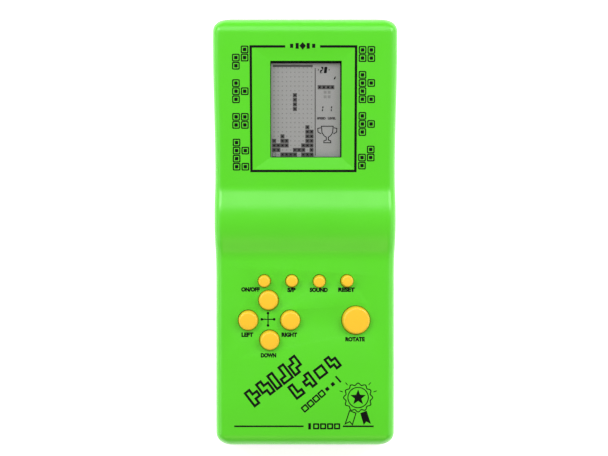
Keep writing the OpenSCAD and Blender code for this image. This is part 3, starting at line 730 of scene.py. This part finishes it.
def stroke(points, width, closed=False):
    """Outline of a line of even width with mitred corners and square ends."""
    pts = [Vector(p) for p in points]
    n = len(pts)

    def side(sign):
        out = []
        for i in range(n):
            before = pts[i - 1] if (i or closed) else pts[i] * 2 - pts[i + 1]
            after = pts[(i + 1) % n] if (i < n - 1 or closed) else pts[i] * 2 - pts[i - 1]
            a, b = (pts[i] - before).normalized(), (after - pts[i]).normalized()
            normal = Vector((-a.y - b.y, a.x + b.x)).normalized()
            reach = sign * width / 2 / max(0.35, normal.dot(Vector((-a.y, a.x))))
            out.append(tuple(pts[i] + normal * reach))
        return out

    if closed:
        return [side(1), side(-1)]
    return [side(1) + list(reversed(side(-1)))]


def text_curve(body, height, bold):
    curve = bpy.data.curves.new("lettering", "FONT")
    curve.body = body
    curve.size = height * 1.43  # makes a capital about as tall as height
    curve.offset = bold
    curve.align_x, curve.align_y = "CENTER", "CENTER"
    curve.resolution_u = 4
    return curve


def label(body, x, y, width, height=1.9, bold=0.18):
    """A word centred on a place and stretched to a width and a height."""
    obj = flat_object("label", text_curve(body, height, bold))
    xs = [v.co.x for v in obj.data.vertices]
    ys = [v.co.y for v in obj.data.vertices]
    sx, sy = width / (max(xs) - min(xs)), height / (max(ys) - min(ys))
    mx, my = (max(xs) + min(xs)) / 2, (max(ys) + min(ys)) / 2
    for v in obj.data.vertices:
        v.co.x, v.co.y = x + (v.co.x - mx) * sx, y + (v.co.y - my) * sy
    return obj


def printed(name, objects):
    out = drape(joined(name, objects))
    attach(paint(out, INK), "case")
    return out


# plan places of the printed frame's corners and its gap
FRAME_L, FRAME_R, FRAME_B, FRAME_T = -22.44, 21.5, 25.82, 77.54
FRAME_TAPER = 0.16
FRAME_LINE = 1.0
GAP_L, GAP_R = -8.04, 6.5
# small block figures beside the frame: place of the first cell, then (column, row) of each cell
FIGURE_PITCH = (3.66, 3.36)
FIGURES = [
    (-28.65, 76.3, [(1, 0), (1, 1), (0, 1), (0, 2)]),
    (-28.65, 62.4, [(0, 0), (0, 1), (1, 1), (0, 2)]),
    (-28.65, 48.4, [(0, 0), (1, 0), (0, 1), (1, 1)]),
    (-28.5, 37.7, [(0, 0), (0, 1), (1, 1), (0, 2), (0, 3), (1, 3)]),
    (24.2, 76.1, [(0, 0), (1, 0), (0, 1), (1, 1)]),
    (24.2, 65.8, [(0, 0), (0, 1), (1, 1), (0, 2), (0, 3), (1, 3)]),
    (24.2, 48.8, [(0, 0), (0, 1), (1, 1), (0, 2)]),
    (24.1, 34.8, [(1, 0), (1, 1), (0, 1), (0, 2)]),
]


def frame_print():
    run = [(GAP_L, FRAME_T), (FRAME_L, FRAME_T), (FRAME_L + FRAME_TAPER, FRAME_B),
           (FRAME_R - FRAME_TAPER, FRAME_B), (FRAME_R, FRAME_T), (GAP_R, FRAME_T)]
    loops = stroke(run, FRAME_LINE)
    # a row of bars and a diamond in the gap
    mid, low, high = (GAP_L + GAP_R) / 2, FRAME_T - 1.2, FRAME_T + 1.7
    for i in (-2, -1, 1, 2):
        x, short = mid + 2.3 * i, 0.3 * abs(i)
        loops.append(rect(x - 0.65, low + short, x + 0.65, high - short))
    centre = (low + high) / 2
    loops.append([(mid + 1.35, centre), (mid, high + 0.1), (mid - 1.35, centre), (mid, low - 0.1)])
    return printed("frame_print", [flat_object("frame_line", outline_curve("frame", loops))])


def figure_prints():
    lines, dots = [], []
    for x0, y0, cells in FIGURES:
        for i, j in cells:
            x, y = x0 + FIGURE_PITCH[0] * i, y0 - FIGURE_PITCH[1] * j
            lines += [round_rect(x, y, 1.6, 0.5), round_rect(x, y, 1.12, 0.25)]
            dots.append(round_rect(x, y, 0.72, 0.28))
    parts = [flat_object("figures", outline_curve("figures", lines))]
    parts.append(flat_object("dots", outline_curve("dots", dots)))
    return printed("block_figure_prints", parts)


# what each key does: word, place of its middle, width
LABELS = [
    ("ON/OFF", -22.8, -24.0, 7.8), ("S/P", -5.5, -24.2, 3.5),
    ("SOUND", 6.0, -24.2, 7.6), ("RESET", 17.7, -24.1, 7.0),
    ("LEFT", -24.1, -43.1, 5.0), ("RIGHT", -6.4, -43.1, 6.6),
    ("DOWN", -15.2, -51.8, 6.5), ("ROTATE", 21.3, -45.0, 8.2),
]
CROSS_AT, CROSS_ARM = (-15.4, -36.6), 2.6


def label_prints():
    (x, y), a = CROSS_AT, CROSS_ARM
    h = 0.22
    cross = [
        rect(x - a, y - h, x + a, y + h), rect(x - h, y + h, x + h, y + a),
        rect(x - h, y - a, x + h, y - h)]
    parts = [label(*row) for row in LABELS]
    parts += [flat_object("cross", outline_curve("cross", [loop])) for loop in cross]
    parts += [flat_object("dot", outline_curve("dot", [disc(x + dx, y + dy, 0.55)]))
              for dx, dy in ((a, 0), (-a, 0), (0, a), (0, -a))]
    return printed("key_labels", parts)


def turned(loops, at, angle):
    """Loops drawn along a slanting base line that starts at a place in plan."""
    c, s = math.cos(math.radians(angle)), math.sin(math.radians(angle))
    return [[(at[0] + c * x - s * y, at[1] + s * x + c * y) for x, y in loop] for loop in loops]


# outlines of block figures on a grid of cells, three cells high
FIGURE_OUTLINES = {
    "zig": [(0, 1), (1, 1), (1, 0), (2, 0), (2, 2), (1, 2), (1, 3), (0, 3)],
    "bar": [(0, 0), (1, 0), (1, 3), (0, 3)],
    "tee": [(0, 0), (1, 0), (1, 1), (2, 1), (2, 2), (1, 2), (1, 3), (0, 3)],
    "hook": [(0, 0), (2, 0), (2, 3), (1, 3), (1, 1), (0, 1)],
    "zag": [(0, 0), (1, 0), (1, 1), (2, 1), (2, 3), (1, 3), (1, 2), (0, 2)],
    "block": [(0, 0.5), (2, 0.5), (2, 2.5), (0, 2.5)],
    "foot": [(0, 0), (2, 0), (2, 1), (1, 1), (1, 3), (0, 3)],
    "nub": [(0, 1), (1, 1), (1, 0), (2, 0), (2, 3), (1, 3), (1, 2), (0, 2)],
}
TITLE_ANGLE = 37.3


def figure_row(names, cell, gap, line):
    """A row of outlined block figures from the origin along X."""
    loops, x = [], 0
    for name in names:
        outline = FIGURE_OUTLINES[name]
        inset = [(x + px * cell, py * cell) for px, py in outline]
        loops += stroke(inset, line, closed=True)
        x += cell * max(px for px, py in outline) + gap
    return loops


def title_prints():
    parts = []
    # place, figures, cell, gap between figures and line width of each row
    rows = [
        ((-21.0, -73.2), ["tee", "zig", "bar", "hook", "zag"], 2.25, 1.45, 1.0),
        ((-3.2, -70.0), ["foot", "nub", "block", "zig"], 1.95, 2.5, 1.0),
    ]
    for at, names, cell, gap, line in rows:
        loops = turned(figure_row(names, cell, gap, line), at, TITLE_ANGLE)
        parts.append(flat_object("row", outline_curve("row", loops)))
    # a third, small row: four squares, two dots and a bar
    small = []
    for i in range(7):
        x = 1.3 + 3.1 * i
        if i < 4:
            small += [round_rect(x, 1.6, 1.4, 0.3), round_rect(x, 1.6, 0.78, 0.1)]
        elif i < 6:
            small.append(round_rect(x, 1.6, 0.75, 0.2))
        else:
            small.append(rect(x - 0.35, 0.0, x + 0.35, 3.4))
    loops = turned(small, (0.3, -76.2), TITLE_ANGLE + 3.7)
    parts.append(flat_object("row", outline_curve("row", loops)))
    return printed("title_figures", parts)


def base_line_print():
    y, half = -81.85, 0.33
    loops = [rect(-29.7, y - half, -0.4, y + half), rect(16.2, y - half, 29.2, y + half)]
    loops.append(rect(1.6, y - 1.35, 2.7, y + 1.35))
    for i in range(4):
        x = 4.9 + 2.95 * i
        loops += [round_rect(x, y, 1.3, 0.25), round_rect(x, y, 0.66, 0.1)]
    return printed("base_line_print", [flat_object("rule", outline_curve("rule", loops))])


def polar(cx, cy, r, angle):
    """A place at a distance and an angle, in degrees, from another."""
    a = math.radians(angle)
    return (cx + r * math.cos(a), cy + r * math.sin(a))


def star(cx, cy, outer, inner, n=5):
    return [polar(cx, cy, inner if i % 2 else outer, 90 + 180 * i / n) for i in range(2 * n)]


def badge_print():
    """A plain rosette with a star, two ribbon tails and a few rays."""
    cx, cy = 22.6, -69.6
    scallop = [polar(cx, cy, 5.7 + 0.45 * math.cos(math.radians(12 * a)), a) for a in range(0, 360, 5)]
    loops = stroke(scallop, 0.42, closed=True) + stroke(disc(cx, cy, 4.3, 48), 0.4, closed=True)
    loops.append(star(cx, cy, 3.4, 1.45))
    tail = [(-3.6, -5.6), (-5.4, -11.2), (-3.5, -10.2), (-2.4, -11.6), (-0.9, -6.6)]
    tail = [(cx + dx, cy + dy) for dx, dy in tail]
    loops += stroke(tail, 0.42, closed=True)
    loops.append([(2 * cx - x, y) for x, y in tail])
    parts = [flat_object("badge", outline_curve("badge", loops))]
    for a in (20, 50, 130, 160):
        ray = stroke([polar(cx, cy, 6.9, a), polar(cx, cy, 8.3, a)], 0.34)
        parts.append(flat_object("ray", outline_curve("ray", ray)))
    return printed("badge_print", parts)


# ---- display ----

FILM_TOP = -3.8
LCD_DY = -0.3  # the display's picture against its window
MARK_T = 0.03
# the playing field's grid: place of the first column and row, and which columns are lit in each row
COL_0, COL_PITCH, COLUMNS = -12.82, 1.754, 10
ROW_0, ROW_PITCH, ROWS = -18.72, 1.916, 20
LIT = {
    0: (2, 3, 4, 5, 7, 8, 9), 1: (0, 1, 5, 6, 7, 9), 2: (0, 1, 2, 3, 7, 8, 9), 3: (0, 2, 3, 8, 9),
    4: (2, 8, 9), 5: (8, 9), 6: (8,), 10: (5,), 11: (5,), 12: (5,), 13: (5,),
}
NEXT_AT, NEXT_PITCH = (6.37, 9.54), 1.77
SEGMENTS = {
    "a": ((0, 1), (1, 1)), "b": ((1, 1), (1, 0.5)), "c": ((1, 0.5), (1, 0)), "d": ((0, 0), (1, 0)),
    "e": ((0, 0.5), (0, 0)), "f": ((0, 1), (0, 0.5)), "g": ((0, 0.5), (1, 0.5)),
}
DIGITS = {"1": "bc", "2": "abged", "8": "abcdefg"}
DIGIT_W, DIGIT_H, DIGIT_SLANT = 1.05, 2.4, 0.12
# character, place of its middle and line width
READOUTS = [("2", 7.2, 16.75, 0.24), ("8", 8.85, 16.75, 0.2), ("1", 7.1, 0.5, 0.45), ("1", 10.8, 0.5, 0.45)]


def digit(char, cx, cy, line):
    """A seven-segment digit, its segments a little apart."""
    def place(x, y):
        rise = (y - 0.5) * DIGIT_H
        return Vector((cx + (x - 0.5) * DIGIT_W + DIGIT_SLANT * rise, cy + rise))

    loops = []
    for key in DIGITS[char]:
        a, b = (place(*end) for end in SEGMENTS[key])
        trim = (b - a).normalized() * line * 0.4
        loops += stroke([a + trim, b - trim], line)
    return loops


def square(x, y, half):
    return rect(x - half, y - half, x + half, y + half)


def lcd_marks(name, parts, material):
    """Lays flat objects, drawn in the head's own frame, on the display's front film."""
    out = joined(name, parts)
    for v in out.data.vertices:
        z = FILM_TOP + (MARK_T if v.co.z > 0 else -0.02)
        v.co = HEAD @ (Vector((v.co.x + PRINT_DX, v.co.y + LCD_DY, z)) * MM)
    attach(paint(out, material), "case")
    return out


def lcd_outlines(name, loops, material):
    lcd_marks(name, [flat_object(name, outline_curve(name, loops))], material)


def trophy(cx, cy, k):
    """A plain two-handled cup drawn in line."""
    bowl = [(-2.2, 3.2), (-2.0, 0.8), (-1.2, -0.4), (-0.4, -0.9), (-0.4, -2.0), (-1.3, -2.3), (-1.3, -3.0),
            (1.3, -3.0), (1.3, -2.3), (0.4, -2.0), (0.4, -0.9), (1.2, -0.4), (2.0, 0.8), (2.2, 3.2)]
    handle = [(2.45, 2.6), (3.6, 2.4), (3.5, 1.0), (2.3, 0.3)]
    loops = stroke([(cx + k * x, cy + k * y) for x, y in bowl], 0.36, closed=True)
    for side in (-1, 1):
        loops += stroke([(cx + k * side * x, cy + k * y) for x, y in handle], 0.36)
    return loops


def display_prints():
    cells = [(COL_0 + COL_PITCH * i, ROW_0 + ROW_PITCH * j) for j, columns in LIT.items() for i in columns]
    cells += [(NEXT_AT[0] + NEXT_PITCH * i, NEXT_AT[1]) for i in range(4)]
    rings, dots = [], []
    for x, y in cells:
        rings += [square(x, y, 0.86), square(x, y, 0.34)]
        dots.append(square(x, y, 0.34))
    lcd_outlines("lcd_lit_cells", rings, SEGMENT_GREY)
    lcd_outlines("lcd_lit_centres", dots, SEGMENT_BLACK)
    lit = {(i, j) for j, columns in LIT.items() for i in columns}
    ghosts = [square(COL_0 + COL_PITCH * i, ROW_0 + ROW_PITCH * j, 0.26)
              for i in range(COLUMNS) for j in range(ROWS) if (i, j) not in lit]
    ghosts += [square(8.65 + 1.7 * i, 7.45 - 1.92 * j, 0.6) for i in range(2) for j in range(2)]
    lcd_outlines("lcd_unlit_cells", ghosts, GHOST)
    # the bars over and beside the field, and the ring in its first cell
    lines = [rect(-13.3, 18.0, 3.45, 18.85), rect(4.28, -19.2, 4.68, 17.5)]
    lines += [square(COL_0, ROW_0, 0.82), square(COL_0, ROW_0, 0.6)]
    lcd_outlines("lcd_lines", lines, SEGMENT_GREY)
    marks = [square(5.85, 16.8, 0.24), square(10.35, 16.8, 0.24)]
    marks += [[(12.2, 12.8), (12.7, 14.0), (13.15, 14.0), (13.0, 13.2), (12.65, 12.8)]]
    for readout in READOUTS:
        marks += digit(*readout)
    marks += trophy(9.6, -10.4, 1.12)
    lcd_outlines("lcd_digits", marks, SEGMENT_BLACK)
    words = [label("SPEED", 7.1, -3.5, 3.7, 1.05, 0.13), label("LEVEL", 11.5, -3.5, 3.4, 1.05, 0.13)]
    lcd_marks("lcd_words", words, SEGMENT_GREY)
    # painted shadow: a black band on the film just inside the window, widest along the top, standing in for
    # the shade that the recess's rim casts on the display
    painted_shadow_band = [rect(-15.6, -20.6, 16.2, 21.2), rect(-14.12, -19.66, 15.0, 19.5)]
    lcd_outlines("painted_window_shadow", painted_shadow_band, INK)


# ---- build ----

shell = front_shell()
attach(shell, "case")
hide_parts("front_shell")

rear = rear_shell()
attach(rear, "case")
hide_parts("rear_shell")

door = battery_door()
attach(door, "battery_cover")
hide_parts("battery_door")

web, domes = keypad()
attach(web, "case")
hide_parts("keypad_sheet")
for key, (x, y, r) in KEYS.items():
    cap = key_cap(key)
    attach(cap, key + "_key")
    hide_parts(key + "_button")
    paint(NODES[key + "_pill"], CARBON)
    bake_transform(domes[key])

frame_print()
figure_prints()
label_prints()
title_prints()
base_line_print()
badge_print()
display_prints()

# materials of the CAD solids that are shown as they are
CARRIED = {
    "case_screws": STEEL, "screen_window": WINDOW, "lcd_front_polariser": FILM,
    "lcd_front_glass": GLASS, "lcd_rear_glass": GLASS, "lcd_rear_reflector": FILM, "lcd_bracket": IVORY,
    "lcd_bracket_screws": STEEL, "heat_seal_ribbon": RIBBON, "main_pcb": BOARD, "chip_blob": EPOXY,
    "pcb_screws": STEEL, "capacitors": SLEEVE_BLUE, "resonator": ORANGE, "resistors": TAN,
    "aa_cell_1": SLEEVE_BLUE, "aa_cell_2": SLEEVE_BLUE, "positive_contact": NICKEL,
    "negative_contact": NICKEL, "bridge_contact": NICKEL, "negative_spring": NICKEL,
    "bridge_spring": NICKEL, "red_wire": RED_PVC, "black_wire": BLACK_PVC, "buzzer_disc": BRASS,
    "buzzer_ceramic": CERAMIC, "buzzer_wire_red": RED_PVC, "buzzer_wire_black": BLACK_PVC,
}
for node, mat in CARRIED.items():
    paint(NODES[node], mat)

# ---- stage ----

CAMERA_H = 640.0
FIELD_W = 256.4  # width of what the camera sees at the height of the key deck
SENSOR = 36.0
VIEW_SHIFT = (-0.00181, 0.00905)
FLOOR_Z = -0.02
WORLD_LIGHT, FLOOR_GLOW = 0.335, 0.6
WHITE = (1.0, 1.0, 1.0)
# soft lamps aimed at the game: name, place and size in metres, power in watts, colour
LAMPS = [
    ("top_left", (-0.85, 0.62, 0.75), (0.5, 0.5), 5.6, WHITE),
    ("top_right", (0.85, 0.62, 0.75), (0.5, 0.5), 5.4, WHITE),
    ("top", (0.0, 0.72, 0.94), (1.1, 0.68), 5.0, WHITE),
    ("front", (0.0, -0.95, 0.85), (1.2, 0.5), 2.0, (1.0, 0.86, 0.45)),
    ("side_left", (-1.05, -0.1, 0.42), (1.3, 0.35), 2.4, WHITE),
    ("side_right", (1.05, -0.1, 0.42), (1.3, 0.35), 2.4, WHITE),
]


def camera():
    data = bpy.data.cameras.new("camera")
    data.sensor_width = SENSOR
    data.lens = SENSOR * (CAMERA_H - DECK_Z) / FIELD_W
    data.clip_start, data.clip_end = 0.01, 10
    obj = bpy.data.objects.new("camera", data)
    obj.location = Vector((0, 0, CAMERA_H)) * MM
    data.shift_x, data.shift_y = VIEW_SHIFT
    bpy.context.scene.collection.objects.link(obj)
    bpy.context.scene.camera = obj


def lamp(name, place, size, watts, colour):
    data = bpy.data.lights.new(name, "AREA")
    data.shape, data.size, data.size_y = "RECTANGLE", size[0], size[1]
    data.energy, data.color = watts, colour
    obj = bpy.data.objects.new(name, data)
    obj.location = place
    obj.rotation_euler = (-Vector(place)).to_track_quat("-Z", "Y").to_euler()
    bpy.context.scene.collection.objects.link(obj)


def stage():
    floor = box("floor", (-1500, -1500, -12), (1500, 1500, FLOOR_Z))
    mat, tree, bsdf = shader("pale_floor")
    clouds = remap(tree, noise(tree, 6, 3), 0, 1)
    whites = blend_colours(tree, clouds, (0.93, 0.93, 0.93), (0.95, 0.95, 0.95))
    tree.links.new(whites, bsdf.inputs["Base Color"])
    bsdf.inputs["Roughness"].default_value = 0.7
    bsdf.inputs["Emission Color"].default_value = (1, 1, 1, 1)
    bsdf.inputs["Emission Strength"].default_value = FLOOR_GLOW
    paint(floor, mat)
    world = bpy.data.worlds.new("studio")
    world.use_nodes = True
    sky = world.node_tree.nodes["Background"]
    sky.inputs["Color"].default_value = (*WHITE, 1)
    sky.inputs["Strength"].default_value = WORLD_LIGHT
    bpy.context.scene.world = world
    for row in LAMPS:
        lamp(*row)


camera()
stage()
bpy.context.scene.view_settings.view_transform = "Standard"
